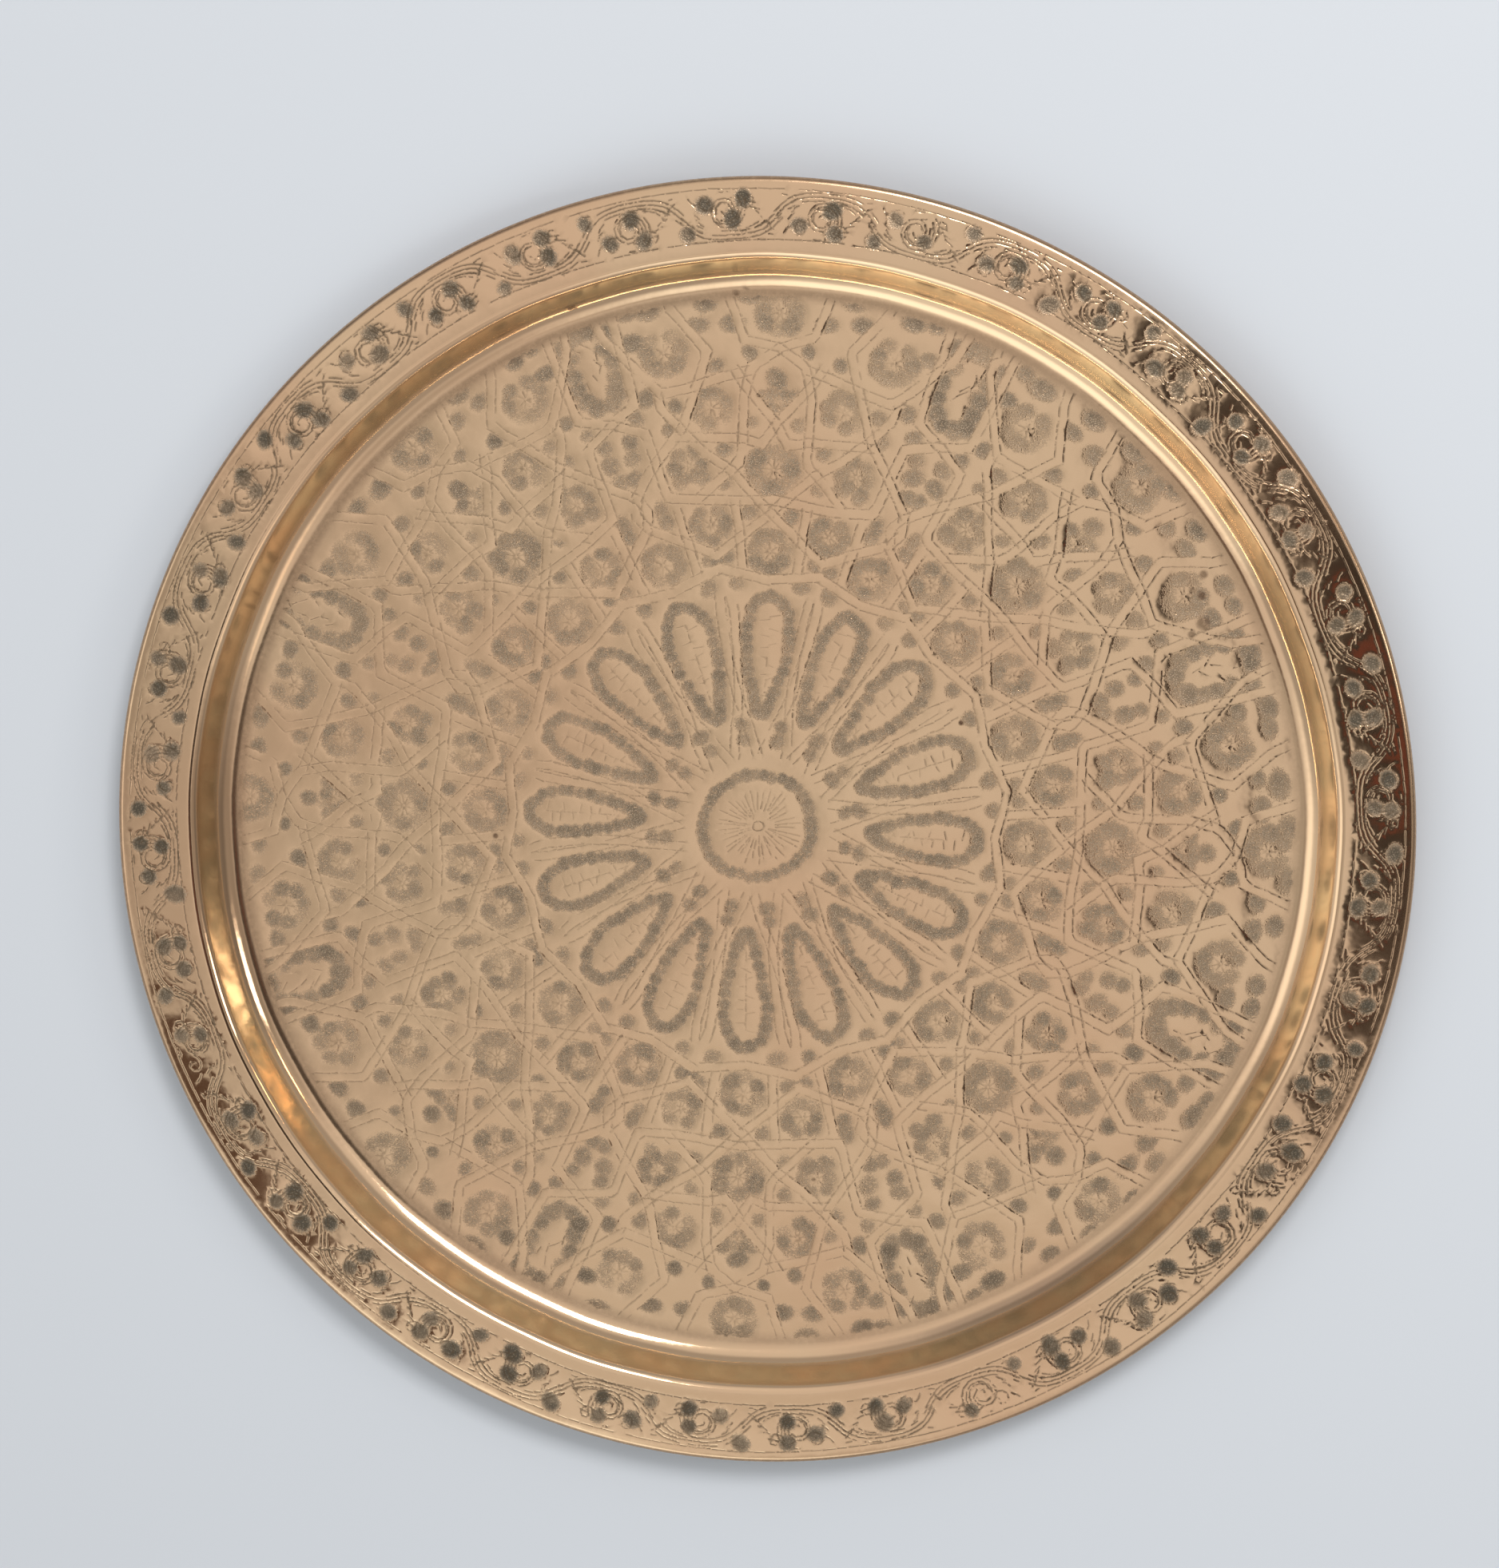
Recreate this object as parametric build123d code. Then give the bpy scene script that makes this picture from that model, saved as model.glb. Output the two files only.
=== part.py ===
from build123d import *
import os
from math import cos, degrees, radians, sin, tan

# A round brass tray: one sheet, raised to a shallow well with a broad flange, whose edge is turned
# under round a stiffening wire. It lies flat, face up. The origin is the centre of the underside.
# Sizes are in millimetres and angles in degrees. Bend radii are those of the face, the side seen.

TRAY_D = 400.0          # over the turned edge
WELL_DEPTH = 14.0       # from the field up to the flange's inner edge
FLANGE_W = 21.8         # from the shoulder to the turned edge's outermost point
SHEET = 0.9
WALL_SLOPE = 65.0       # of the well's wall above the field
FILLET_R = 8.5          # hollow bend from the field to the wall
SHOULDER_R = 3.5        # round bend from the wall to the flange
FLANGE_FALL = 6.0       # how far the flange has tipped down by the time it reaches the edge

WIRE_D = 1.6
WIRE_PLAY = 0.05        # all round the wire, inside the turned edge
WIRE_END_GAP = 1.0      # where the hoop's two ends meet
TURN = 270.0            # how far round the wire the edge is turned
TURN_TAIL = 0.4         # straight end of the turned edge, towards the flange's underside

# The sheet's middle line, worked out inwards from the edge.
bead_r = WIRE_D / 2 + WIRE_PLAY + SHEET / 2
bead_centre_r = TRAY_D / 2 - bead_r - SHEET / 2
flange_inner_r = TRAY_D / 2 - FLANGE_W
flange_run = bead_centre_r + bead_r * sin(radians(FLANGE_FALL)) - flange_inner_r
flange_camber_r = flange_run / sin(radians(FLANGE_FALL))

fillet_mid_r = FILLET_R + SHEET / 2
shoulder_mid_r = SHOULDER_R - SHEET / 2
bends_rise = (fillet_mid_r + shoulder_mid_r) * (1 - cos(radians(WALL_SLOPE)))
bends_run = (fillet_mid_r + shoulder_mid_r) * sin(radians(WALL_SLOPE))
wall_length = (WELL_DEPTH - bends_rise) / sin(radians(WALL_SLOPE))
field_r = flange_inner_r - bends_run - wall_length * cos(radians(WALL_SLOPE))

flange_z = SHEET / 2 + WELL_DEPTH
bead_centre_z = (
    flange_z - flange_run * tan(radians(FLANGE_FALL) / 2) - bead_r * cos(radians(FLANGE_FALL))
)


def tray_body():
    """The raised sheet: field, fillet, wall, shoulder, flange and turned edge, in one thickness."""
    field = Line((0, SHEET / 2), (field_r, SHEET / 2))
    fillet = JernArc(field @ 1, field % 1, fillet_mid_r, WALL_SLOPE)
    wall = Line(fillet @ 1, fillet @ 1 + fillet % 1 * wall_length)
    shoulder = JernArc(wall @ 1, wall % 1, shoulder_mid_r, -WALL_SLOPE)
    flange = JernArc(shoulder @ 1, shoulder % 1, flange_camber_r, -FLANGE_FALL)
    bead = JernArc(flange @ 1, flange % 1, bead_r, -TURN)
    tail = Line(bead @ 1, bead @ 1 + bead % 1 * TURN_TAIL)
    section = Plane.XZ * trace([field, fillet, wall, shoulder, flange, bead, tail], SHEET)
    return revolve(section, Axis.Z)


def edge_wire():
    """The hoop that stiffens the edge, a round wire bent until its ends nearly meet."""
    section = Plane.XZ * Pos(bead_centre_r, bead_centre_z) * Circle(WIRE_D / 2)
    return revolve(section, Axis.Z, 360 - degrees(WIRE_END_GAP / bead_centre_r))


os.makedirs("parts", exist_ok=True)
export_step(tray_body(), "parts/tray_body.step")
export_step(edge_wire(), "parts/edge_wire.step")
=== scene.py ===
import math
import bpy
import numpy as np
from mathutils import Matrix, Vector
from mathutils.geometry import delaunay_2d_cdt


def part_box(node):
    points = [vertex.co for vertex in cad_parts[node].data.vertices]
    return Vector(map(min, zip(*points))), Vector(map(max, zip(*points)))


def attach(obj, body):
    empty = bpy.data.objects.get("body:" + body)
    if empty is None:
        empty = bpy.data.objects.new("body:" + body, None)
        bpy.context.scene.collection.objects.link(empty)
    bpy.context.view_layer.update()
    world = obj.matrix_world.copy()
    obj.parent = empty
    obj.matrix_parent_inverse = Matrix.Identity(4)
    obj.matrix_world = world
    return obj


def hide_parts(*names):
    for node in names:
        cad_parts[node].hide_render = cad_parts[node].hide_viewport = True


# The looks of a round brass tray, chased all over: a strapwork star in the field, a running scroll on
# the flange. The ornament is drawn in millimetres on the face, then the whole sheet is made as one mesh.

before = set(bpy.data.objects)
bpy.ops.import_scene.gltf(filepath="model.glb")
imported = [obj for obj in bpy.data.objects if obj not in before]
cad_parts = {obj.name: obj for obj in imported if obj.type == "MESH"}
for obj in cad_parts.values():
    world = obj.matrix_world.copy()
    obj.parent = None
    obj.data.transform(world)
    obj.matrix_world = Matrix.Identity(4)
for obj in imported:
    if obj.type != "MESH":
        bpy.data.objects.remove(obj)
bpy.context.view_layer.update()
rng = np.random.default_rng(41)

MM = 0.001
FULL = 2 * math.pi

# ---------------------------------------------------------------- the sheet's section, as in the CAD
SHEET = 0.9
TRAY_R = (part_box("tray_body")[1].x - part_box("tray_body")[0].x) / 2 / MM
WELL_DEPTH = 14.0
FLANGE_W = 21.8
WALL_SLOPE = math.radians(65)
FILLET_MID_R = 8.5 + SHEET / 2
SHOULDER_MID_R = 3.5 - SHEET / 2
FLANGE_FALL = math.radians(6)
BEAD_MID_R = 1.3
TURN = math.radians(270)
TURN_TAIL = 0.4

bead_centre_r = TRAY_R - BEAD_MID_R - SHEET / 2
flange_in_r = TRAY_R - FLANGE_W
flange_run = bead_centre_r + BEAD_MID_R * math.sin(FLANGE_FALL) - flange_in_r
camber_r = flange_run / math.sin(FLANGE_FALL)
bends = FILLET_MID_R + SHOULDER_MID_R
wall_length = (WELL_DEPTH - bends * (1 - math.cos(WALL_SLOPE))) / math.sin(WALL_SLOPE)
field_r = flange_in_r - bends * math.sin(WALL_SLOPE) - wall_length * math.cos(WALL_SLOPE)
face_camber_r = camber_r + SHEET / 2
flange_out_r = flange_in_r + face_camber_r * math.sin(FLANGE_FALL)
FACE_Z = SHEET
FLANGE_Z = WELL_DEPTH + SHEET
UNDER_Z = 0.12                  # the underside's level before its bosses, which come down towards 0


def straight(start, heading, length, steps):
    """Stations (r, z, heading) along a straight stretch of the sheet's middle line."""
    shares = [i / steps for i in range(steps + 1)]
    return [(start[0] + length * t * math.cos(heading), start[1] + length * t * math.sin(heading), heading)
            for t in shares]


def bend(start, heading, radius, turn, steps):
    """Stations (r, z, heading) along a bend of the middle line, by turn radians: positive goes upwards."""
    side = math.copysign(1, turn)
    out = []
    for i in range(steps + 1):
        a = heading + turn * (i / steps)
        out.append((start[0] + side * radius * (math.sin(a) - math.sin(heading)),
                    start[1] - side * radius * (math.cos(a) - math.cos(heading)), a))
    return out


fillet = bend((field_r, SHEET / 2), 0, FILLET_MID_R, WALL_SLOPE, 10)
wall = straight(fillet[-1][:2], WALL_SLOPE, wall_length, 4)
shoulder = bend(wall[-1][:2], WALL_SLOPE, SHOULDER_MID_R, -WALL_SLOPE, 9)
flange = bend(shoulder[-1][:2], 0, camber_r, -FLANGE_FALL, 8)
bead = bend(flange[-1][:2], -FLANGE_FALL, BEAD_MID_R, -TURN, 22)
tail = straight(bead[-1][:2], -FLANGE_FALL - TURN, TURN_TAIL, 1)


def side_of(stations, side):
    """The stations moved half the sheet's thickness to the face (1) or to the underside (-1)."""
    return [(r - side * SHEET / 2 * math.sin(a), z + side * SHEET / 2 * math.cos(a)) for r, z, a in stations]


# ---------------------------------------------------------------- the relief, drawn on fine rasters
PITCH = 0.125                   # mm from one cell to the next
HALF = 203.0                    # mm from the tray's centre to the rasters' edge
CELLS = int(2 * HALF / PITCH)


def raster():
    return np.zeros((CELLS, CELLS), np.float32)


sunk_spots, sunk_lines, raised = raster(), raster(), raster()     # depths and heights in mm
matted = raster()                                                 # how matted the ground is
plain, level = raster(), raster()                                 # where the straps keep it off, and flat
core_points, line_points, spot_points = [], [], []                # the mesh's points, most needed first


def window(x0, y0, x1, y1):
    """The cells in a box, as slices of a raster, with their x and y. None if it is off the rasters."""
    i0, j0 = (max(int((v + HALF) / PITCH), 0) for v in (x0, y0))
    i1, j1 = (min(int((v + HALF) / PITCH) + 2, CELLS) for v in (x1, y1))
    if i1 <= i0 or j1 <= j0:
        return None
    xs = (np.arange(i0, i1) + 0.5) * PITCH - HALF
    ys = (np.arange(j0, j1) + 0.5) * PITCH - HALF
    return (slice(j0, j1), slice(i0, i1)), xs[None, :], ys[:, None]


BOWL_REACH = 1.25               # a blow's cells go this many radii out
MATTED_TO, FRAY = 1.28, 0.85    # its matting fades over FRAY radii and is gone at MATTED_TO
BOWL_RINGS = ((0, 1), (0.42, 6), (0.70, 11), (0.94, 15), (1.18, 16))      # its mesh points: radii out, count
BURR, BURR_OUT, BURR_HALF = 0.14, 1.6, 0.8        # of a groove's depth; of its half width, out and wide


def spot(x, y, radius, depth, tone, long=1.0, turn=0.0):
    """One blow of the round matting punch: a shallow bowl with a stippled floor."""
    reach = radius * max(long, 1) * BOWL_REACH
    found = window(x - reach, y - reach, x + reach, y + reach)
    if not found:
        return
    at, xs, ys = found
    c, s = math.cos(turn), math.sin(turn)
    d = np.hypot(((xs - x) * c + (ys - y) * s) / long, (ys - y) * c - (xs - x) * s) / radius
    sunk_spots[at] = np.maximum(sunk_spots[at], depth * np.clip(1 - d * d, 0, 1) ** 1.5)
    edge = np.clip((MATTED_TO - d) / FRAY, 0, 1)
    matted[at] = np.maximum(matted[at], tone * edge * edge * (3 - 2 * edge))
    for share, count in BOWL_RINGS:
        for k in range(count):
            a = FULL * (k + share) / count
            u, v = share * radius * long * math.cos(a), share * radius * math.sin(a)
            spot_points.append((x + u * c - v * s, y + u * s + v * c))


def window_round(p, q, pad):
    """The window that takes in two points and pad mm round them."""
    return window(min(p[0], q[0]) - pad, min(p[1], q[1]) - pad,
                  max(p[0], q[0]) + pad, max(p[1], q[1]) + pad)


def dash(p, q, width, depth):
    """One blow of the lining tool: a short groove with a slight burr on both sides."""
    found = window_round(p, q, width * (BURR_OUT + BURR_HALF))
    if not found:
        return
    at, xs, ys = found
    dx, dy = q[0] - p[0], q[1] - p[1]
    length = math.hypot(dx, dy) + 1e-6
    ux, uy = dx / length, dy / length
    along = np.clip((xs - p[0]) * ux + (ys - p[1]) * uy, 0, length)
    e = np.hypot(xs - p[0] - along * ux, ys - p[1] - along * uy) / width
    sunk_lines[at] = np.maximum(sunk_lines[at], depth * np.clip(1 - e * e, 0, 1))
    burr = BURR * depth * np.clip(1 - np.abs(e - BURR_OUT) / BURR_HALF, 0, 1)
    raised[at] = np.maximum(raised[at], burr)
    for t in np.linspace(0, length, max(2, int(length / 0.8) + 1)):
        for o in (0, -width, width, -2.2 * width, 2.2 * width):
            (core_points if o == 0 else line_points).append((p[0] + ux * t - uy * o, p[1] + uy * t + ux * o))
    for t in (-width, length + width):
        line_points.append((p[0] + ux * t, p[1] + uy * t))


def keep_plain(path, reach):
    """Ground that the matting punch keeps off: a strip either side of the path."""
    for p, q in zip(path, path[1:]):
        found = window_round(p, q, reach + 1.0)
        if found:
            at, xs, ys = found
            dx, dy = q[0] - p[0], q[1] - p[1]
            share = np.clip(((xs - p[0]) * dx + (ys - p[1]) * dy) / (dx * dx + dy * dy + 1e-9), 0, 1)
            away = np.hypot(xs - p[0] - share * dx, ys - p[1] - share * dy)
            plain[at] = np.maximum(plain[at], np.clip((reach + 0.2 - away) / 0.9, 0, 1))
            level[at] = np.maximum(level[at], np.clip((reach + 1.0 - away) / 2.2, 0, 1))


def sway(x, y):
    """The unevenness of work drawn by hand: points wander by a millimetre or so, smoothly."""
    dx = 0.75 * np.sin(x / 17.0 + 1.1 * np.sin(y / 29.0) + 0.7) + 0.5 * np.sin(y / 11.0 + x / 23.0 + 2.1)
    dy = 0.75 * np.sin(y / 19.0 + 1.2 * np.sin(x / 31.0) + 4.0) + 0.5 * np.sin(x / 12.0 - y / 21.0 + 0.4)
    return x + dx, y + dy


def stroke(path, width=0.24, depth=0.038, length=2.3, gap=0.5, shake=0.08, miss=0.04):
    """A line chased along the path as a row of dashes."""
    path = np.asarray(path, float)
    legs = np.hypot(*np.diff(path, axis=0).T)
    run = np.concatenate([[0], np.cumsum(legs)])
    s = rng.uniform(0, 0.3)
    while s < run[-1] - 0.5:
        step = length * rng.uniform(0.75, 1.2)
        ends = np.minimum([s, s + step], run[-1])
        xy = np.array([np.interp(ends, run, path[:, 0]), np.interp(ends, run, path[:, 1])]).T
        xy = xy + rng.normal(0, shake, (2, 2))
        if rng.random() > miss:
            dash(xy[0], xy[1], width * rng.uniform(0.8, 1.15), depth * rng.uniform(0.65, 1.2))
        s += step + gap * rng.uniform(0.6, 1.5)


def offset(path, distance):
    """The path moved sideways by that distance, with its corners kept."""
    path = np.asarray(path, float)
    legs = np.diff(path, axis=0)
    normals = np.stack([-legs[:, 1], legs[:, 0]], 1) / np.maximum(np.hypot(*legs.T), 1e-9)[:, None]
    joined = np.vstack([normals[:1], normals[:-1] + normals[1:], normals[-1:]])
    joined /= np.maximum((joined ** 2).sum(1), 0.5)[:, None]
    joined[1:-1] *= 2
    return path + distance * joined


# ---------------------------------------------------------------- the field: a sixteen-petalled star
STAR_X, STAR_Y = -2.7, -0.2     # the star was set out a little off the tray's centre
STAR_TURN = -2.8                # degrees that its first axis lies from +X
STRAP = 1.40                    # half the width of a strap, drawn as two lines
FIELD_LIMIT = field_r - 0.7
BLOW = 1.48                     # a blow's matting spreads past the radius given for it
BLOW_DEPTH = (0.09, 0.14)       # mm, shallowest and deepest
RING_SPREAD = 1.08              # the little rings were struck a share wider than they were set out
EDGE_SLACK = 0.4                # mm that a blow's middle may go past the field's limit
PETALS, AXES = 16, 8            # how many times the inner and the outer zone's patterns repeat


def on_star(theta, r, jitter=0.0):
    """Degrees from the star's first axis and millimetres from its centre, as a point on the field."""
    a = math.radians(theta + STAR_TURN)
    x, y = sway(STAR_X + r * math.cos(a), STAR_Y + r * math.sin(a))
    return x + rng.normal(0, jitter), y + rng.normal(0, jitter)


def axes_of(fold):
    """The angles, in degrees on the star, of fold axes."""
    return [360 / fold * k for k in range(fold)]


def copies(fold):
    """(axis, sign) of every half wedge and its mirror image, fold times round."""
    return [(axis, sign) for axis in axes_of(fold) for sign in (1, -1)]


def path_on_star(points, start, sign, jitter):
    """A path through (degrees, radius) points, in short legs that follow the hand's unevenness."""
    out = []
    for (t0, r0), (t1, r1) in zip(points, points[1:]):
        p, q = on_star(start + sign * t0, r0), on_star(start + sign * t1, r1)
        n = max(1, int(math.dist(p, q) / 9))
        out += [(p[0] + (q[0] - p[0]) * i / n, p[1] + (q[1] - p[1]) * i / n) for i in range(n)]
    out.append(on_star(start + sign * points[-1][0], points[-1][1]))
    return np.array(out) + rng.normal(0, jitter, (len(out), 2))


def strap(points, fold, bare=True):
    """A strap through (degrees from the axis, radius) points, repeated and mirrored fold times round."""
    for start, sign in copies(fold):
        path = path_on_star(points, start, sign, 0.16)
        if bare:
            keep_plain(path, STRAP + 0.35)
        for side in (STRAP, -STRAP):
            stroke(offset(path, side * rng.uniform(0.9, 1.1)))


def inside(x, y, slack=0.0):
    return math.hypot(x, y) < FIELD_LIMIT + slack


def field_spot(theta, r, radius, tone=0.82, **more):
    """A blow on the field. Those far out are struck harder, and the outermost lie along the wall."""
    x, y = on_star(theta, r, 0.28)
    tone = tone * (1.25 if r > 135 else 1.0)
    by_wall = r > 150
    if inside(x, y, EDGE_SLACK):
        more.setdefault("long", rng.uniform(1.0, 1.3) * (1.2 if by_wall else 1.0))
        more.setdefault("turn", math.radians(theta) + math.pi / 2 if by_wall else rng.uniform(0, math.pi))
        spot(x, y, radius * BLOW * rng.uniform(0.9, 1.1), depth=rng.uniform(*BLOW_DEPTH),
             tone=tone * rng.uniform(0.8, 1.1), **more)


def spots_all_round(places, fold):
    """Single blows at those places. One on an axis is made once, not twice."""
    edge = 180 / fold
    for start, sign in copies(fold):
        for theta, r, radius in places:
            if sign > 0 or 0.2 < theta < edge - 0.2:
                field_spot(start + sign * theta, r, radius)


def cell(theta, r, ring, count, opening, start, sign, radius=2.25, rays=7, reach=2.7):
    """A ring or horseshoe of matting round a little flower. opening is the direction it is open to, in
    degrees from the outward radius, or None."""
    a0 = start + sign * theta
    cx, cy = on_star(a0, r, 0.3)
    out = math.radians(a0 + STAR_TURN)
    ring = ring * RING_SPREAD
    span = 360 if opening is None else 285
    first = rng.uniform(0, 360) if opening is None else opening + 180 - span / 2
    for k in range(count):
        share = k / count if opening is None else k / (count - 1)
        a = out + sign * math.radians(first + span * share)
        x, y = cx + ring * math.cos(a) + rng.normal(0, 0.2), cy + ring * math.sin(a) + rng.normal(0, 0.2)
        if inside(x, y, EDGE_SLACK):
            spot(x, y, radius * BLOW * rng.uniform(0.88, 1.12), depth=rng.uniform(*BLOW_DEPTH),
                 tone=rng.uniform(0.55, 0.92), long=rng.uniform(1.05, 1.4), turn=a + math.pi / 2)
    for k in range(rays):
        a = out + FULL * (k + rng.uniform(-0.2, 0.2)) / rays
        p, q = (0.5 * math.cos(a), 0.5 * math.sin(a)), (reach * math.cos(a), reach * math.sin(a))
        if inside(cx + q[0], cy + q[1]):
            dash((cx + p[0], cy + p[1]), (cx + q[0], cy + q[1]), 0.22, rng.uniform(0.015, 0.04))


def medallion():
    """The ring of blows at the star's middle, with fine rays and a small circle inside."""
    blows = rays = 38
    for k in range(blows):
        field_spot(360 * k / blows, 16.8, 1.72, 0.95, long=1.0)
    for k in range(rays):
        a = 360 * (k + rng.uniform(-0.25, 0.25)) / rays
        inner, outer = rng.uniform(2.6, 6.0), rng.uniform(10.0, 13.6)
        stroke([on_star(a, inner), on_star(a, outer)], width=0.20, depth=0.032, length=3.2)
    stroke([on_star(30 * k, 1.7) for k in range(13)], width=0.24, depth=0.05, length=0.8, gap=0.2)


def petal(axis):
    """A teardrop outlined in overlapping blows, its point to the centre, with uneven scratches inside."""
    middle, half_length, half_width, blows = 53.0, 17.6, 8.9, 34
    for k in range(blows):
        t = FULL * k / blows
        along = middle + half_length * math.cos(t)
        aside = half_width * math.sin(t) * (0.68 + 0.32 * math.cos(t))
        theta = axis + math.degrees(math.atan2(aside, along))
        field_spot(theta, math.hypot(along, aside), 1.74, 0.95, long=1.0)
    at = math.radians(axis + STAR_TURN)
    c, s = math.cos(at), math.sin(at)
    for k in range(6):
        r = 42.5 + 4.3 * k + rng.uniform(-0.6, 0.6)
        w = 1.2 + 0.4 * k
        for side in (-1, 1):
            slip, lean = 1.3 * math.sin(axis + 5 * k + 2 * side), 0.7 * math.sin(2 * axis + 3 * k - side)
            p = sway(STAR_X + (r + slip) * c, STAR_Y + (r + slip) * s)
            q = (p[0] + lean * c - side * w * s, p[1] + lean * s + side * w * c)
            dash(p, q, 0.20, rng.uniform(0.015, 0.035))
    stroke([on_star(axis, 41), on_star(axis, 65)], width=0.20, depth=0.03, length=2.8, miss=0.4)


def inner_zone():
    """All that repeats on each of the sixteen petals. Places are (degrees, radius), and blows have a size."""
    for axis in axes_of(PETALS):
        petal(axis)
    spots_all_round([(11.25, 27.6, 1.95), (11.25, 32.2, 2.0),
                     (7.6, 74.6, 2.2), (11.25, 80.9, 2.3), (9.3, 82.2, 1.9), (3.8, 96.6, 2.1)], PETALS)
    strap([(2.0, 22.8), (11.25, 41.0), (12.7, 52.0), (13.0, 66.0), (12.4, 71.0)], PETALS, bare=False)
    strap([(0.0, 75.6), (11.25, 79.3)], PETALS)
    strap([(6.05, 78.6), (6.05, 99.6)], PETALS)
    strap([(0.0, 96.5), (11.25, 83.6)], PETALS)
    for axis in axes_of(PETALS):
        cell(0.0, 84.6, 4.7, 7, None, axis, 1)
        cell(11.25, 92.6, 4.3, 7, 0, axis, 1, radius=2.1)


def horseshoe(axis):
    """The large cell by the wall, open outwards, with a rough stem inside."""
    for r, half in ((137.5, 2.2), (140.0, 5.0), (144.5, 6.4), (149.5, 6.9), (154.5, 7.1), (159.5, 7.2)):
        for side in (-1, 1):
            field_spot(axis + side * math.degrees(half / r), r, 2.35)
    for k in range(9):
        a, r = axis + rng.uniform(-1.4, 1.4), 143 + 2.1 * k
        scratch = [on_star(a, r), on_star(a + rng.uniform(-1.2, 1.2), r + 3.0)]
        stroke(scratch, width=0.20, depth=0.05, length=3)


def outer_zone():
    """All that repeats on each of the eight even axes, up to the well's wall, in the same terms."""
    for points in ([(0, 100.5), (10, 100.5), (17.3, 103.7), (18.0, 126.0), (22.5, 131.0)],
                   [(22.5, 106.6), (19.0, 113.0), (14.0, 122.5), (12.6, 126.0), (8.4, 148.0), (11.8, 162.0),
                    (12.4, 168)],
                   [(0.0, 96.5), (6.3, 110.0), (10.0, 116.5), (12.8, 124.0), (15.3, 132.5), (15.4, 137.0)],
                   [(12.3, 101.8), (6.3, 110.0), (5.0, 112.5), (4.6, 119.0), (4.3, 133.0), (3.2, 142.5),
                    (0.0, 148.0)],
                   [(0.0, 124.5), (1.8, 118.0), (4.6, 120.0), (14.0, 122.8)],
                   [(0.0, 125.0), (4.2, 137.0), (5.5, 143.0)],
                   [(0.0, 148.0), (4.0, 151.0), (5.6, 167.0)],
                   [(3.5, 141.5), (14.8, 137.0), (20.3, 157.0), (21.0, 168.0)],
                   [(22.5, 131.0), (18.5, 135.0), (18.7, 167.0)],
                   [(22.5, 97.0), (21.2, 101.6), (22.5, 106.6)]):
        strap(points, AXES)
    spots_all_round([(7.5, 106.5, 2.2), (10.9, 108.3, 2.2), (14.3, 108.3, 2.2), (7.1, 116.8, 2.1),
                     (11.2, 117.8, 2.1), (3.2, 124.5, 2.0), (14.5, 125.5, 2.2), (13.3, 132.0, 2.2),
                     (18.9, 130.5, 2.1), (16.9, 136.5, 2.2), (7.6, 143.6, 2.1), (3.3, 147.2, 1.8),
                     (5.4, 156.0, 2.4), (9.2, 156.5, 2.3), (17.3, 154.0, 2.3), (8.0, 163.0, 2.4),
                     (14.6, 162.0, 2.4), (21.9, 161.5, 2.5), (17.0, 163.0, 2.2), (3.0, 164.5, 2.3),
                     (20.6, 119.0, 2.4), (21.5, 112.6, 2.2), (20.4, 124.4, 2.1), (0.0, 138.6, 2.4),
                     (1.9, 133.2, 2.1)], AXES)
    for start, sign in copies(AXES):
        theta = start + sign * 18.9
        field_spot(theta, 100.4, 2.2, long=1.5, turn=math.radians(theta + STAR_TURN))
        cell(12.6, 112.9, 3.9, 6, 0, start, sign, radius=2.0, reach=2.3)
        cell(8.6, 131.0, 4.4, 7, 200, start, sign, radius=2.2)
        cell(13.6, 149.3, 4.9, 7, 0, start, sign, radius=2.3)
    for axis in axes_of(AXES):
        cell(0.0, 110.0, 5.4, 11, None, axis, 1, radius=2.6, rays=9, reach=3.2)
        cell(0.0, 158.2, 4.8, 7, 0, axis, 1, radius=2.4)
        cell(0.0, 131.4, 3.0, 4, 0, axis, 1, radius=1.9, reach=2.0)
        horseshoe(axis + 180 / AXES)


# ---------------------------------------------------------------- the flange: a running scroll
SCROLL_R = 188.6                # the circle that the vine swings about
SCROLL_TURN = math.radians(3.0)
LOBES = 40
LOBE = FULL * SCROLL_R / LOBES  # mm along that circle
SWING = 5.9                     # how far the vine goes either side of it
FINE = {"width": 0.29, "depth": 0.085, "gap": 0.36, "shake": 0.05}      # the flange's lining tool


def on_flange(u, v):
    """u mm round the scroll's middle circle and v mm outwards from it."""
    a = u / SCROLL_R + SCROLL_TURN
    r = SCROLL_R + v
    return r * math.cos(a), r * math.sin(a)


def flange_path(points):
    return np.array([on_flange(u, v) for u, v in points])


def vine_at(u):
    """The running stem: round arches joined by steep crossings. u counts from a lobe's middle."""
    roundness = 1.7
    return SWING * np.tanh(roundness * np.cos(math.pi * u / LOBE)) / math.tanh(roundness)


def curl(cu, cv, up, first, last, radius, end):
    """A spiral that winds in evenly from one radius and angle to another, as points on the flange."""
    angles = np.radians(np.linspace(first, last, max(8, int(abs(last - first) / 14))))
    radii = np.linspace(radius, end, len(angles))
    return flange_path([(cu + r * math.cos(t), cv + up * r * math.sin(t)) for r, t in zip(radii, angles)])


# In each lobe, from its middle: where a leaf starts and how far it runs, and a blow's place and radius.
LEAVES = ((9.6, 0.6, 1.8, -2.0), (8.4, 2.9, 2.2, -2.2), (10.6, -3.2, 2.0, -2.4), (0.6, -6.9, 2.6, 0.1),
          (-0.6, -5.2, 1.8, 0.9), (12.0, 5.9, 2.2, 0.5), (-13.2, 6.1, 2.2, -0.4), (3.4, 2.6, 1.6, -1.1))
BERRIES = ((-1.4, 1.6, 2.8), (-2.4, -4.3, 2.7), (7.6, -2.6, 2.8), (14.4, 4.9, 2.7))


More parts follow.
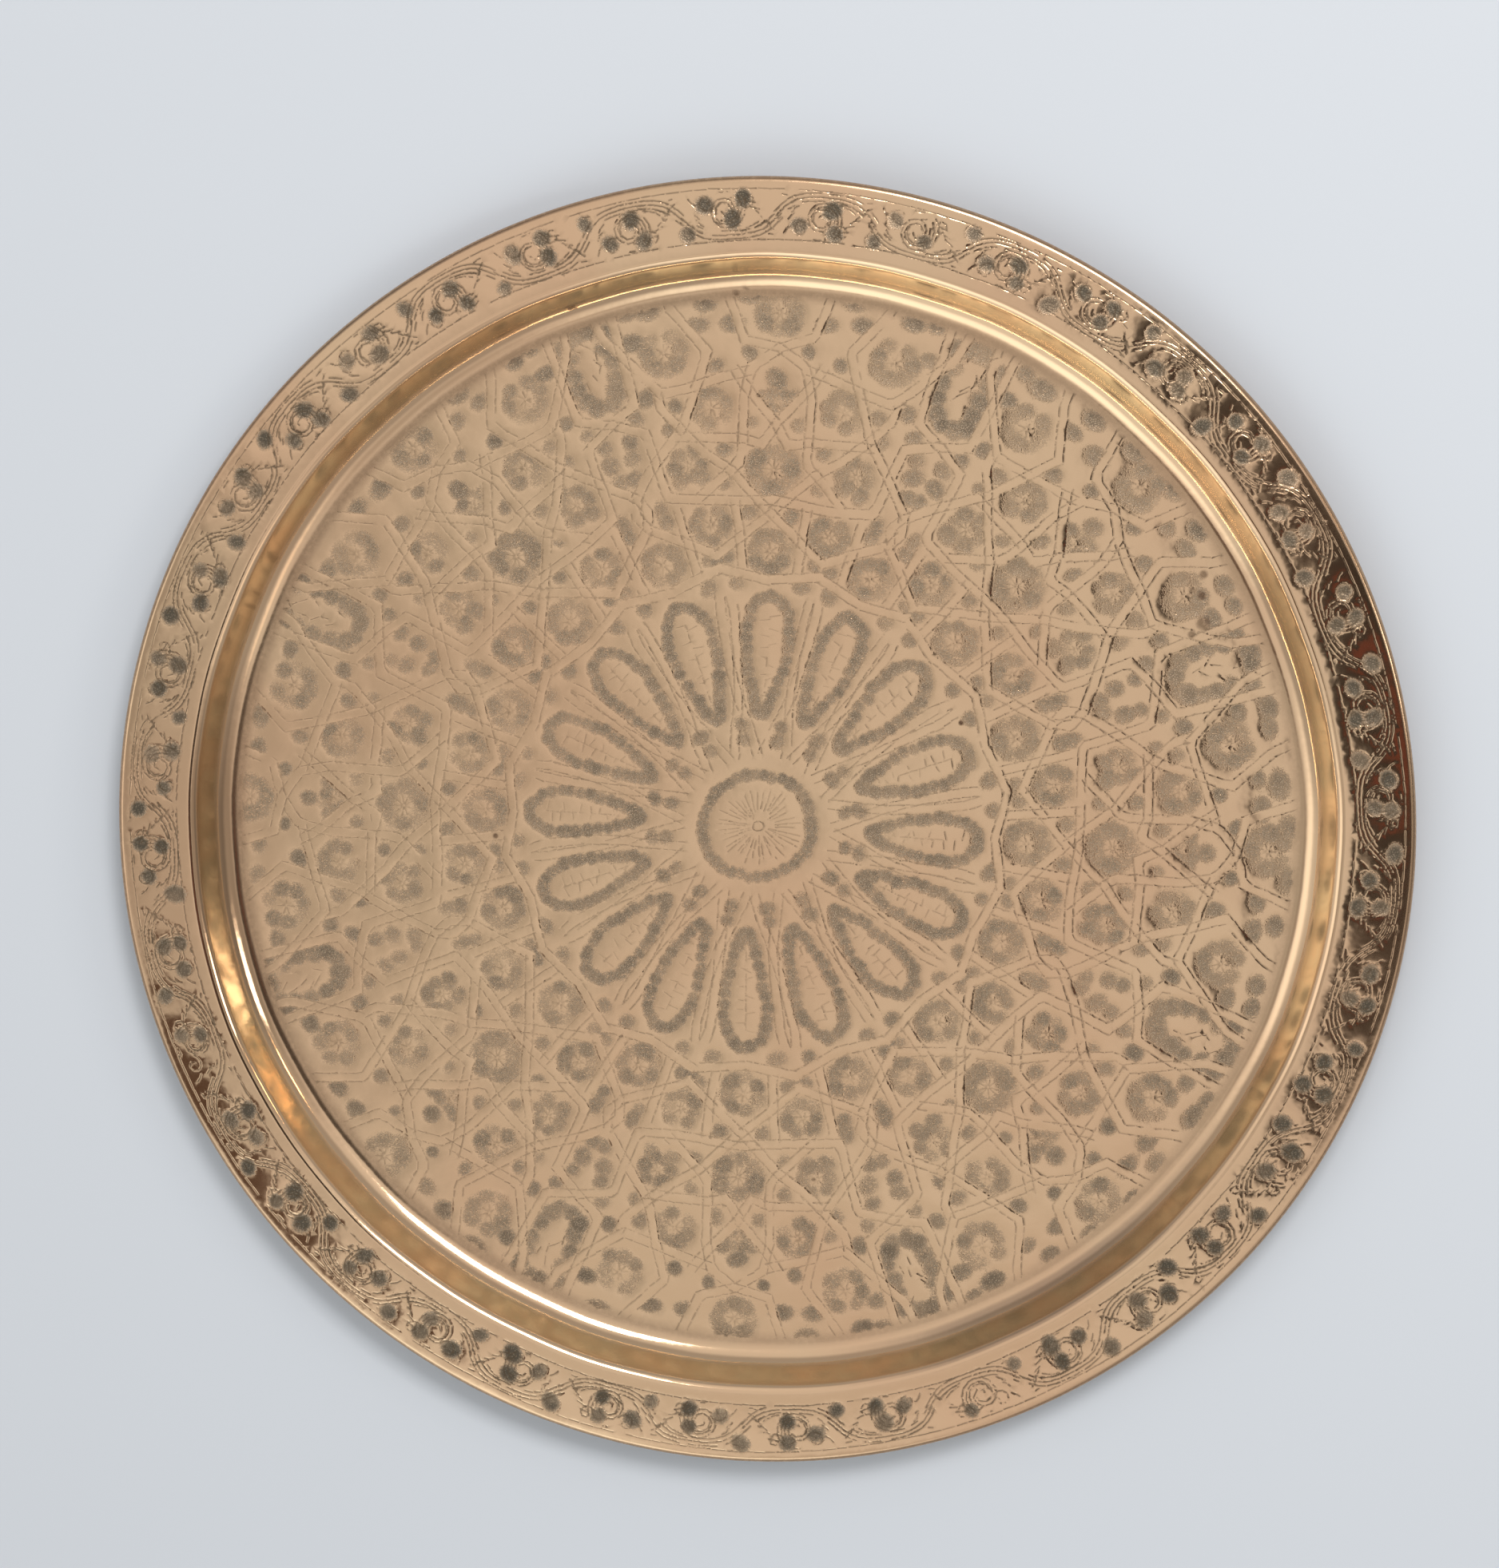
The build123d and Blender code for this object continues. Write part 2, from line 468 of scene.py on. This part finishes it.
def lobe(index):
    """Half a wave of the vine, with its volute, leaves and matted ground."""
    u0 = index * LOBE + rng.normal(0, 0.4)
    up = 1 if index % 2 else -1
    size = rng.uniform(0.92, 1.06)
    us = np.linspace(-LOBE / 2 - 0.4, LOBE / 2 + 0.4, 25)
    for shift, miss in ((-1.6, 0.35), (0.0, 0.03), (1.6, 0.12)):
        vine = [(u0 + u + 0.35 * shift * math.sin(math.pi * u / LOBE), up * (vine_at(u) + shift * 0.75))
                for u in us]
        stroke(flange_path(vine), length=2.3, miss=miss, **FINE)
    cu, cv = u0 + 1.6 + rng.normal(0, 0.3), up * (-0.9 + rng.normal(0, 0.2))
    stroke(curl(cu, cv, up, 232, -345, 6.9 * size, 1.1), length=2.0, **FINE)
    stroke(curl(cu + 0.1, cv, up, 226, -80, 5.7 * size, 2.4), length=2.0, **FINE)
    stroke(curl(cu, cv, up, 205, -170, 4.2 * size, 1.9), length=1.7, **FINE)
    stroke(curl(u0 - 5.0, -4.3 * up, up, 30, 400, 2.7 * size, 0.6), length=1.3, **FINE)
    stroke(curl(u0 + 7.4, -4.2 * up, up, 160, -250, 3.0 * size, 0.7), length=1.3, **FINE)
    for inset, start, end in ((1.7, -12.6, -4.0), (2.9, -11.6, -6.6)):
        leg = [(u0 + u + inset, up * (vine_at(u) - 0.45 * inset)) for u in np.linspace(start, end, 8)]
        stroke(flange_path(leg), length=1.9, **FINE)
    for k in range(5):
        fan = [(u0 - 13.4 + 1.5 * k, up * (4.6 - 2.0 * k)),
               (u0 - 11.9 + 1.7 * k, up * (3.7 - 1.9 * k)),
               (u0 - 10.9 + 1.7 * k, up * (2.2 - 1.6 * k))]
        stroke(flange_path(fan), length=2.0, **FINE)
    for lu, lv, du, dv in LEAVES:
        leaf = [(u0 + lu, up * lv),
                (u0 + lu + du * 0.55, up * (lv + dv * 0.35)),
                (u0 + lu + du, up * (lv + dv))]
        stroke(flange_path(leaf), length=1.5, **FINE)
    for su, sv, radius in BERRIES:
        if rng.random() > 0.06:
            x, y = on_flange(u0 + su + rng.normal(0, 0.6), up * sv + rng.normal(0, 0.4))
            spot(x, y, radius * rng.uniform(1.0, 1.25), depth=rng.uniform(0.14, 0.22),
                 tone=rng.uniform(1.15, 1.5), long=rng.uniform(1.0, 1.25), turn=rng.uniform(0, math.pi))


def flange_borders():
    """A chased line either side of the scroll."""
    for r, width, depth, length in ((196.4, 0.22, 0.07, 3.4), (181.3, 0.24, 0.09, 2.2)):
        a = np.linspace(0, FULL, 361)
        wave = r + 0.18 * np.sin(a * 7 + r) + 0.12 * np.sin(a * 19)
        ring = np.stack([wave * np.cos(a), wave * np.sin(a)], 1)
        stroke(ring, width, depth, length, gap=0.5, shake=0.06, miss=0.08)


medallion()
inner_zone()
outer_zone()
for number in range(LOBES):
    lobe(number)
flange_borders()

KEPT_OFF = 0.85                 # how nearly bare and flat a strap's ground is kept
matted *= 1 - KEPT_OFF * plain
sunk_spots *= 1 - KEPT_OFF * level * level * (3 - 2 * level)


# ---------------------------------------------------------------- marks of use
# Corroded specks and stains, in mm: x, y, radius, weight. Each gets mesh points of its own.
MARKS = [(-59.0, 160.0, 1.0, 1.0), (60.7, 32.4, 0.8, 1.0), (-83.8, -4.8, 0.9, 0.8),
         (-8.6, 164.0, 1.0, 0.9), (-6.0, 166.0, 0.7, 0.7), (134.4, 79.0, 1.3, 0.6),
         (134.0, 72.5, 1.5, 0.65), (134.8, 64.0, 2.2, 0.55), (131.0, 60.5, 1.2, 0.5),
         (77.0, 69.5, 0.5, 0.7), (-128.0, -61.0, 0.5, 0.6), (15.5, -112.0, 0.7, 0.55)]
MARK_RINGS = ((0, 1), (0.6, 7), (0.95, 10), (1.3, 12))
for x, y, size, _ in MARKS:
    for share, count in MARK_RINGS:
        for k in range(count):
            a = FULL * k / count
            core_points.append((x + share * size * math.cos(a), y + share * size * math.sin(a)))


# ---------------------------------------------------------------- reading the relief back
def smooth(a, b, x):
    """0 at a, 1 at b and level at both."""
    t = np.clip((x - a) / (b - a), 0, 1)
    return t * t * (3 - 2 * t)


def blurred(fine, sigma):
    """A coarse copy of a raster, softened, with its own pitch."""
    step = 4
    n = CELLS // step
    small = fine[:n * step, :n * step].reshape(n, step, n, step).mean((1, 3))
    f = np.fft.fftfreq(n, PITCH * step)
    gain = np.exp(-2 * (math.pi * sigma) ** 2 * (f[:, None] ** 2 + f[None, :] ** 2))
    return np.fft.ifft2(np.fft.fft2(small) * gain).real, PITCH * step


def sample(cells, pitch, x, y):
    """A raster's value at points, between its cells."""
    fx, fy = (x + HALF) / pitch - 0.5, (y + HALF) / pitch - 0.5
    i, j = (np.clip(np.floor(v).astype(int), 0, cells.shape[0] - 2) for v in (fx, fy))
    s, t = fx - i, fy - j
    return ((cells[j, i] * (1 - s) + cells[j, i + 1] * s) * (1 - t)
            + (cells[j + 1, i] * (1 - s) + cells[j + 1, i + 1] * s) * t)


DISHING = 0.16                  # mm that closely matted ground has sunk as a whole
dished, dish_pitch = blurred(matted, 1.9)
pressed, press_pitch = blurred(sunk_spots + sunk_lines, 0.9)


def planished(x, y):
    """Slow waves left in the sheet by the hammer, in mm."""
    return (0.030 * np.sin(x / 5.3 + 1.7 * np.sin(y / 9.1)) * np.sin(y / 6.1 + 1.3 * np.sin(x / 8.3 + 1))
            + 0.045 * np.sin(x / 14.0 + 1.0) * np.sin(y / 12.0 - x / 37.0))


def relief(x, y):
    """Height of the worked face over the plain one."""
    r = np.hypot(x, y)
    worked = smooth(field_r + 0.1, field_r - 1.4, r) + smooth(flange_in_r + 0.6, flange_in_r + 1.8, r)
    worked = worked * smooth(flange_out_r - 0.3, flange_out_r - 1.4, r)
    h = (sample(raised, PITCH, x, y) * (1 - 0.7 * np.clip(sample(matted, PITCH, x, y), 0, 1))
         - sample(sunk_lines, PITCH, x, y) - sample(sunk_spots, PITCH, x, y)
         - DISHING * sample(dished, dish_pitch, x, y) + planished(x, y))
    return h * worked


def ghost(x, y):
    """How far the blows show through on the underside, in mm."""
    return 0.55 * sample(pressed, press_pitch, x, y) + 0.5 * planished(x, y)


def wobble(points):
    """A well raised by hand isn't quite round, nor its flange quite true."""
    x, y, z = points.T
    r, a = np.hypot(x, y), np.arctan2(y, x)
    near = smooth(150, 166, r) * smooth(196, 180, r)
    out = near * (0.35 * np.sin(2 * a + 0.6) + 0.22 * np.sin(5 * a + 2.0)
                  + 0.12 * np.sin(13 * a + 0.3) + 0.07 * np.sin(29 * a))
    lift = smooth(160, 198, r) * (0.10 * np.sin(2 * a + 1.0) + 0.06 * np.sin(3 * a)
                                  + 0.03 * np.sin(11 * a + 2) - 0.19)
    k = 1 + out / np.maximum(r, 1)
    return np.stack([x * k, y * k, z + lift], 1)


# ---------------------------------------------------------------- the mesh
SEGMENTS = 720                  # in each loop round the tray
HOLE_CLEAR, RIM_CLEAR = 0.7, 0.6        # mm that a patch's points keep from its inner and outer loops
ROW = 100000                    # more than the cells in a row of any grid below, so that keys differ
turns = np.arange(SEGMENTS) * FULL / SEGMENTS
points, faces, total = [], [], 0


def add(xyz):
    """Adds points to the mesh and returns their numbers."""
    global total
    points.append(np.asarray(xyz, float))
    total += len(xyz)
    return np.arange(total - len(xyz), total)


def loop(r, z):
    """A level circle of points round the tray."""
    return add(np.stack([r * np.cos(turns), r * np.sin(turns), np.full(SEGMENTS, z)], 1))


def join(a, b):
    """Quads from loop a to loop b, as two triangles each."""
    a1, b1 = np.roll(a, -1), np.roll(b, -1)
    faces.append(np.stack([a, b, b1], 1))
    faces.append(np.stack([a, b1, a1], 1))


def keys(xy, cell_size):
    """The number of the square cell that each point lies in."""
    cells = np.floor((xy + HALF) / cell_size).astype(np.int64)
    return cells[:, 0] * ROW + cells[:, 1]


def thinned(xy, cell_size, taken=()):
    """At most one point in each cell, the first that comes, and none in a cell that is taken."""
    key = keys(xy, cell_size)
    _, first = np.unique(key, return_index=True)
    first.sort()
    return xy[first[~np.isin(key[first], taken)]]


def keys_round(xy, cell_size):
    """The numbers of the cells that the points lie in and of those beside them."""
    key = keys(xy, cell_size)
    return np.unique(np.concatenate([key + i * ROW + j for i in (-1, 0, 1) for j in (-1, 0, 1)]))


def ground(spacing):
    """A slightly shaken triangular grid over the whole tray."""
    n = int(2 * HALF / spacing)
    row_height = 0.866
    i, j = np.meshgrid(np.arange(n), np.arange(int(n * 1.16)))
    x = (i + 0.5 * (j % 2)) * spacing - HALF
    y = j * spacing * row_height - HALF
    return np.stack([x.ravel(), y.ravel()], 1) + rng.normal(0, spacing * 0.06, (x.size, 2))


def patch(inner, outer, xy, height, up):
    """Fills the ring between two loops, or the disc in the outer one, with triangles through the points."""
    loops = [outer] if inner is None else [inner, outer]
    every = np.concatenate(points)
    rims = [every[ids][:, :2] for ids in loops]
    hole_r = 0 if inner is None else np.hypot(*rims[0][0])
    nearest = 0 if inner is None else hole_r + HOLE_CLEAR
    r = np.hypot(xy[:, 0], xy[:, 1])
    xy = xy[(r > nearest) & (r < np.hypot(*rims[-1][0]) - RIM_CLEAR)]
    ids = np.concatenate(loops + [add(np.column_stack([xy, height(xy[:, 0], xy[:, 1])]))])
    flat = np.concatenate(rims + [xy])
    edges = [(n * SEGMENTS + k, n * SEGMENTS + (k + 1) % SEGMENTS)
             for n in range(len(loops)) for k in range(SEGMENTS)]
    triangulated = delaunay_2d_cdt([Vector(p) for p in flat.tolist()], edges, [], 0, 1e-7, True)
    from_input = np.array([sources[0] for sources in triangulated[3]])
    tri = from_input[np.array(triangulated[2])]
    p = flat[tri]
    middle = np.hypot(*p.mean(1).T)
    area = np.cross(p[:, 1] - p[:, 0], p[:, 2] - p[:, 0])
    tri = np.where(((area > 0) == up)[:, None], tri, tri[:, ::-1])
    outside_hole = middle > hole_r - 0.05
    faces.append(ids[tri[outside_hole]])


def under_height(x, y):
    """The flat underside, with the blows' bosses."""
    bosses = ghost(x, y) * smooth(field_r, field_r - 2, np.hypot(x, y))
    return UNDER_Z - np.clip(bosses, -0.1, UNDER_Z)


def flange_height(x, y):
    """The flange's camber, with its relief."""
    run = np.hypot(x, y) - flange_in_r
    return FLANGE_Z - face_camber_r + np.sqrt(np.maximum(face_camber_r ** 2 - run ** 2, 0)) + relief(x, y)


# The mesh's points lie close where the face is worked, and 2 mm or so apart where it is plain.
worked_points = thinned(np.vstack([core_points, line_points, thinned(np.array(spot_points), 0.42)]), 0.2)
plain_points = thinned(ground(1.8), 0.5, keys_round(worked_points, 0.5))
face_points = np.vstack([worked_points, plain_points])

face_rim = loop(field_r, FACE_Z)
patch(None, face_rim, face_points, lambda x, y: FACE_Z + relief(x, y), True)
last = face_rim
for r, z in side_of(fillet[1:] + wall[1:] + shoulder[1:], 1):
    here = loop(r, z)
    join(last, here)
    last = here
flange_rim = loop(flange_out_r, side_of(flange[-1:], 1)[0][1])
patch(last, flange_rim, face_points, flange_height, True)
last = flange_rim
edge_loops = side_of(bead[1:] + tail[1:], 1) + side_of(bead + tail[1:], -1)[::-1]
under_loops = side_of((fillet + wall[1:] + shoulder[1:] + flange[1:-1])[::-1], -1)
for r, z in edge_loops + under_loops:
    here = loop(r, max(z, UNDER_Z))
    join(last, here)
    last = here
patch(None, last, thinned(ground(2.0), 0.5), under_height, False)


BLACKENED_FROM = 0.065          # mm deep, where a groove holds all the dirt that it can


def finish_values(xyz):
    """For each point, how far it is matted, a groove, the wall, and the stain with painted shade: by
    attribute name. The wall is burnished between its two bends, and its colour there is partly painted
    reflection. At its foot a dark ring is dirt in the corner and painted shade, heavier to -X and +Y, and the
    tray's edge is darker all round."""
    x, y, z = xyz.T
    r = np.hypot(x, y)
    above = z > SHEET / 2
    on_face = (z > FLANGE_Z - 2.0) | ((r < field_r - 0.1) & above)
    # Where the wall's colour, which is partly painted reflection, and its extra roughness go.
    steep = smooth(field_r + 6.0, field_r + 7.6, r) * smooth(flange_in_r - 2.2, flange_in_r - 3.6, r)
    # Painted shade at the wall's foot, partly dirt in the corner: a dark ring weighted heavier to -X and +Y.
    foot_dirt_and_shade = smooth(field_r - 3.2, field_r + 0.2, r) * smooth(field_r + 3.0, field_r + 0.4, r)
    foot_dirt_and_shade *= 0.34 - 0.16 * x / TRAY_R + 0.10 * y / TRAY_R
    stain_and_shade = foot_dirt_and_shade * above + 0.6 * smooth(198.2, 199.3, r)
    for mark_x, mark_y, size, weight in MARKS:
        off = np.hypot(x - mark_x, y - mark_y) / size
        stain_and_shade = np.maximum(stain_and_shade, weight * above * smooth(1.25, 0.6, off))
    black = np.clip(sample(sunk_lines, PITCH, x, y) / BLACKENED_FROM, 0, 1)
    return {"matted": np.where(on_face, sample(matted, PITCH, x, y), 0),
            "groove": np.where(on_face, black, 0), "wall": steep, "stain_and_shade": stain_and_shade}


xyz = np.concatenate(points)
mesh = bpy.data.meshes.new("tray_brass")
mesh.from_pydata((wobble(xyz) * MM).tolist(), [], np.concatenate(faces).tolist())
mesh.polygons.foreach_set("use_smooth", np.ones(len(mesh.polygons), bool))
for name, values in finish_values(xyz).items():
    layer = mesh.attributes.new(name, "FLOAT", "POINT")
    layer.data.foreach_set("value", values.astype(np.float32))
mesh.update()
tray = bpy.data.objects.new("tray_brass", mesh)
bpy.context.scene.collection.objects.link(tray)


# ---------------------------------------------------------------- materials
class Nodes:
    """A short way to write a node tree."""

    def __init__(self, tree):
        self.tree = tree
        tree.nodes.clear()

    def make(self, kind, settings=None, **inputs):
        node = self.tree.nodes.new(kind)
        for key, value in (settings or {}).items():
            setattr(node, key, value)
        for key, value in inputs.items():
            name = int(key[1:]) if key[0] == "i" and key[1:].isdigit() else key.replace("_", " ")
            self.put(node.inputs[name], value)
        return node

    def put(self, socket, value):
        if isinstance(value, bpy.types.NodeSocket):
            self.tree.links.new(value, socket)
        else:
            socket.default_value = value

    def math(self, kind, a, b, clamp=False):
        return self.make("ShaderNodeMath", {"operation": kind, "use_clamp": clamp}, i0=a, i1=b).outputs[0]

    def range(self, value, low, high, to_low=0.0, to_high=1.0):
        node = self.make("ShaderNodeMapRange", {"interpolation_type": "SMOOTHSTEP"}, Value=value,
                         From_Min=low, From_Max=high, To_Min=to_low, To_Max=to_high)
        return node.outputs[0]

    def mix(self, share, a, b):
        node = self.make("ShaderNodeMix", {"data_type": "RGBA"})
        self.put(node.inputs[0], share)
        self.put(node.inputs[6], a)
        self.put(node.inputs[7], b)
        return node.outputs[2]

    def noise(self, where, scale, detail=2.0, rough=0.5):
        node = self.make("ShaderNodeTexNoise", None, Vector=where, Scale=scale, Detail=detail,
                         Roughness=rough)
        return node.outputs[0]

    def vector(self, kind, *values):
        inputs = {f"i{k}": value for k, value in enumerate(values)}
        return self.make("ShaderNodeVectorMath", {"operation": kind}, **inputs)

    def attribute(self, name):
        return self.make("ShaderNodeAttribute", {"attribute_name": name}).outputs["Fac"]

    def times(self, a, b, clamp=False):
        return self.math("MULTIPLY", a, b, clamp)

    def plus(self, a, b):
        return self.math("ADD", a, b)

    def metal(self, colour, rough, normal=None):
        """The material's shader and output."""
        shader = self.make("ShaderNodeBsdfPrincipled", None, Base_Color=colour, Metallic=1.0, Roughness=rough)
        if normal:
            self.put(shader.inputs["Normal"], normal)
        self.make("ShaderNodeOutputMaterial", None, Surface=shader.outputs[0])


def new_material(name):
    material = bpy.data.materials.new(name)
    material.use_nodes = True
    return material, Nodes(material.node_tree)


BRASS = (0.90, 0.625, 0.390, 1)
ROSY = (0.88, 0.575, 0.355, 1)          # the same metal, where the cast is redder
WALL_TINT_AND_REFLECTION = (0.76, 0.67, 0.475, 1)      # the wall: partly its unpolished tint, partly painted reflection that narrows the fillet's bright band
MATTED = (0.495, 0.375, 0.260, 1)       # struck ground, and the pits in it
SPECK = (0.245, 0.183, 0.125, 1)
GROUND_IN = (0.235, 0.190, 0.135, 1)    # ground struck hardest, and the pits in it
PIT_IN = (0.110, 0.092, 0.068, 1)
RUST = (0.115, 0.060, 0.035, 1)
DIRT = (0.145, 0.102, 0.064, 1)
GRAIN_SCALE = 1900.0                    # stipples in a metre
GRAIN_DEPTH, POLISH_DEPTH = 0.00008, 0.00005        # metres


def brass_material():
    """Polished brass, with stippled ground, blackened grooves, a burnished wall whose colour is partly
    painted reflection, and stains with painted shade at the wall's foot.
    """
    material, n = new_material("chased_brass")
    where = n.make("ShaderNodeTexCoord").outputs["Object"]
    mat, groove, wall = n.attribute("matted"), n.attribute("groove"), n.attribute("wall")
    voronoi = n.make("ShaderNodeTexVoronoi", {"feature": "F1"}, Vector=where, Scale=GRAIN_SCALE)
    grain = voronoi.outputs["Distance"]
    cloud = n.noise(where, 14.0, 3.0)
    patchy = n.noise(where, 60.0, 4.0, 0.6)
    fray = n.noise(where, 700.0, 3.0, 0.7)
    colour = n.mix(n.range(cloud, 0.35, 0.7), BRASS, ROSY)
    # Painted reflection: the wall's colour, in soft streaks, stands in for what the wall reflects. The wall
    # is also unpolished.
    reflection_streak = n.range(n.noise(where, 38.0, 3.0, 0.6), 0.35, 0.65, 0.55, 1.0)
    colour = n.mix(n.times(wall, reflection_streak), colour, WALL_TINT_AND_REFLECTION)
    frayed = n.plus(mat, n.times(n.math("SUBTRACT", fray, 0.5), 0.9))
    frayed = n.plus(frayed, n.math("SUBTRACT", 0.32, grain))
    struck = n.times(n.range(frayed, 0.0, 0.85), n.range(mat, 0.0, 0.9))
    struck = n.times(struck, n.range(patchy, 0.3, 0.7, 0.82, 1.14), True)
    pit = n.range(grain, 0.20, 0.46)
    stippled = n.mix(n.times(pit, 0.9), MATTED, SPECK)
    stippled = n.mix(n.range(mat, 0.95, 1.4, 0.0, 0.9), stippled, n.mix(pit, GROUND_IN, PIT_IN))
    colour = n.mix(struck, colour, stippled)
    colour = n.mix(n.times(groove, n.range(patchy, 0.3, 0.65, 0.7, 0.95), True), colour, DIRT)
    # Real stains and corroded specks, and also the painted shade at the wall's foot, darken the colour here.
    stain_and_shade = n.times(n.attribute("stain_and_shade"), n.range(fray, 0.3, 0.6, 0.75, 1.0), True)
    colour = n.mix(stain_and_shade, colour, RUST)
    rough = n.plus(n.range(cloud, 0.3, 0.7, 0.09, 0.135), n.times(struck, 0.40))
    worn = n.plus(n.plus(stain_and_shade, n.times(groove, 0.5)), n.times(wall, 0.25))
    rough = n.plus(rough, n.times(worn, 0.30))
    height = n.times(n.times(grain, struck), GRAIN_DEPTH)
    polish = n.times(n.noise(where, 170.0, 2.0), POLISH_DEPTH)
    bump = n.make("ShaderNodeBump", None, Strength=1.0, Distance=1.0, Height=n.plus(height, polish))
    n.metal(colour, rough, bump.outputs[0])
    return material


def wire_material():
    """Drawn wire: the same brass, unpolished."""
    material, n = new_material("wire_brass_drawn")
    where = n.make("ShaderNodeTexCoord").outputs["Object"]
    tone = n.noise(where, 300.0, 3.0)
    n.metal(n.mix(tone, BRASS, ROSY), n.range(tone, 0.2, 0.8, 0.25, 0.4))
    return material


tray.data.materials.append(brass_material())
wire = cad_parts["edge_wire"]
wire.data.materials.clear()
wire.data.materials.append(wire_material())
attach(tray, "root")
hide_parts("tray_body")

# ---------------------------------------------------------------- floor, light and camera
FLOOR_HALF = 6              # metres
floor_mesh = bpy.data.meshes.new("floor")
floor_mesh.from_pydata([(FLOOR_HALF * x, FLOOR_HALF * y, 0) for x, y in ((-1, -1), (1, -1), (1, 1), (-1, 1))],
                       [], [(0, 1, 2, 3)])
floor = bpy.data.objects.new("floor", floor_mesh)
bpy.context.scene.collection.objects.link(floor)
paint, nodes = new_material("pale_floor")
base = nodes.make("ShaderNodeBsdfPrincipled", None, Base_Color=(0.685, 0.720, 0.765, 1), Roughness=0.8)
nodes.make("ShaderNodeOutputMaterial", None, Surface=base.outputs[0])
floor.data.materials.append(paint)

world = bpy.data.worlds.new("studio")
bpy.context.scene.world = world
world.use_nodes = True
nodes = Nodes(world.node_tree)
sky = nodes.make("ShaderNodeTexCoord").outputs["Generated"]
light = (0.675, 0.672, 0.672, 1)
# Soft regions of the room overhead: centre and radii in the direction's x and y, colour, softness.
ROOM = (((-0.45, -0.74), (0.62, 0.36), (1.40, 1.50, 1.52, 1), 0.5),
        ((-0.80, -0.05), (0.34, 0.35), (1.20, 1.22, 1.22, 1), 0.3),
        ((0.75, -0.02), (0.46, 0.50), (0.30, 0.29, 0.28, 1), 0.4),
        ((0.30, -0.62), (0.26, 0.26), (0.46, 0.45, 0.44, 1), 0.2),
        ((-0.55, 0.60), (0.40, 0.40), (0.42, 0.42, 0.44, 1), 0.3),
        ((-0.42, -0.08), (0.17, 0.22), (0.37, 0.36, 0.35, 1), 0.3),
        ((-0.23, -0.14), (0.21, 0.20), (0.47, 0.47, 0.46, 1), 0.1),
        ((-0.06, -0.29), (0.17, 0.10), (0.60, 0.59, 0.575, 1), 0.3),
        ((-0.04, -0.54), (0.24, 0.07), (0.50, 0.48, 0.46, 1), 0.2),
        ((0.58, -0.47), (0.12, 0.17), (1.05, 1.00, 0.94, 1), 0.3),
        ((0.235, -0.080), (0.215, 0.245), (0.042, 0.037, 0.034, 1), 0.86),
        ((0.235, -0.108), (0.150, 0.050), (0.150, 0.052, 0.038, 1), 0.35),
        ((-0.340, -0.308), (0.120, 0.098), (0.085, 0.052, 0.038, 1), 0.72))
for centre, radii, colour, core in ROOM:
    away = nodes.vector("SUBTRACT", sky, (*centre, 0)).outputs[0]
    away = nodes.vector("MULTIPLY", away, (1 / radii[0], 1 / radii[1], 0)).outputs[0]
    far = nodes.vector("LENGTH", away).outputs["Value"]
    light = nodes.mix(nodes.range(far, core, 1.0, 1.0, 0.0), light, colour)
height = nodes.make("ShaderNodeSeparateXYZ", None, i0=sky).outputs["Z"]
strength = nodes.range(height, 0.36, 0.62, 0.58, 1.0)       # the room is dimmer low down
back = nodes.make("ShaderNodeBackground", None, Color=light, Strength=strength)
nodes.make("ShaderNodeOutputWorld", None, Surface=back.outputs[0])


LIGHT_AWAY = 2.0            # metres


def window_light(name, azimuth, elevation, width, height, power, colour):
    """A soft rectangular light that faces the origin, azimuth counted from +X."""
    data = bpy.data.lights.new(name, "AREA")
    data.shape = "RECTANGLE"
    data.size, data.size_y = width, height
    data.energy = power
    data.color = colour
    lamp = bpy.data.objects.new(name, data)
    a, e = math.radians(azimuth), math.radians(elevation)
    towards = Vector((math.cos(a) * math.cos(e), math.sin(a) * math.cos(e), math.sin(e)))
    lamp.location = towards * LIGHT_AWAY
    lamp.rotation_euler = towards.to_track_quat("Z", "Y").to_euler()
    lamp.visible_camera = False
    bpy.context.scene.collection.objects.link(lamp)


window_light("window", 64, 56, 0.80, 0.62, 17, (1.0, 0.98, 0.97))
window_light("window_far", 8, 36, 0.26, 0.6, 2.6, (1.0, 0.98, 0.95))
window_light("lamp_warm", 22, 30, 0.10, 0.10, 0.5, (1.0, 0.72, 0.42))

# The camera looks down at the tray, leaning a little to +X and +Y of its axis. +Y is up in the picture.
CAMERA_AWAY = 1.7           # metres
FRAME_HEIGHT = 0.4815       # metres of the tray's plane that the picture's height takes in
SENSOR = 36
LEAN_X, LEAN_Y = math.radians(5.0), math.radians(8.5)
aim = Vector((-0.0036, 0.0142, 0.0120))
towards = Vector((math.sin(LEAN_X), math.sin(LEAN_Y), 0))
towards.z = math.sqrt(1 - towards.length_squared)
side_axis = Vector((0, 1, 0)).cross(towards).normalized()
axes = Matrix((side_axis, towards.cross(side_axis), towards)).transposed()
camera_data = bpy.data.cameras.new("camera")
camera_data.sensor_width = SENSOR
camera_data.lens = SENSOR * CAMERA_AWAY / FRAME_HEIGHT
camera = bpy.data.objects.new("camera", camera_data)
camera.matrix_world = Matrix.Translation(aim + towards * CAMERA_AWAY) @ axes.to_4x4()
bpy.context.scene.collection.objects.link(camera)
bpy.context.scene.camera = camera
bpy.context.scene.view_settings.view_transform = "Standard"
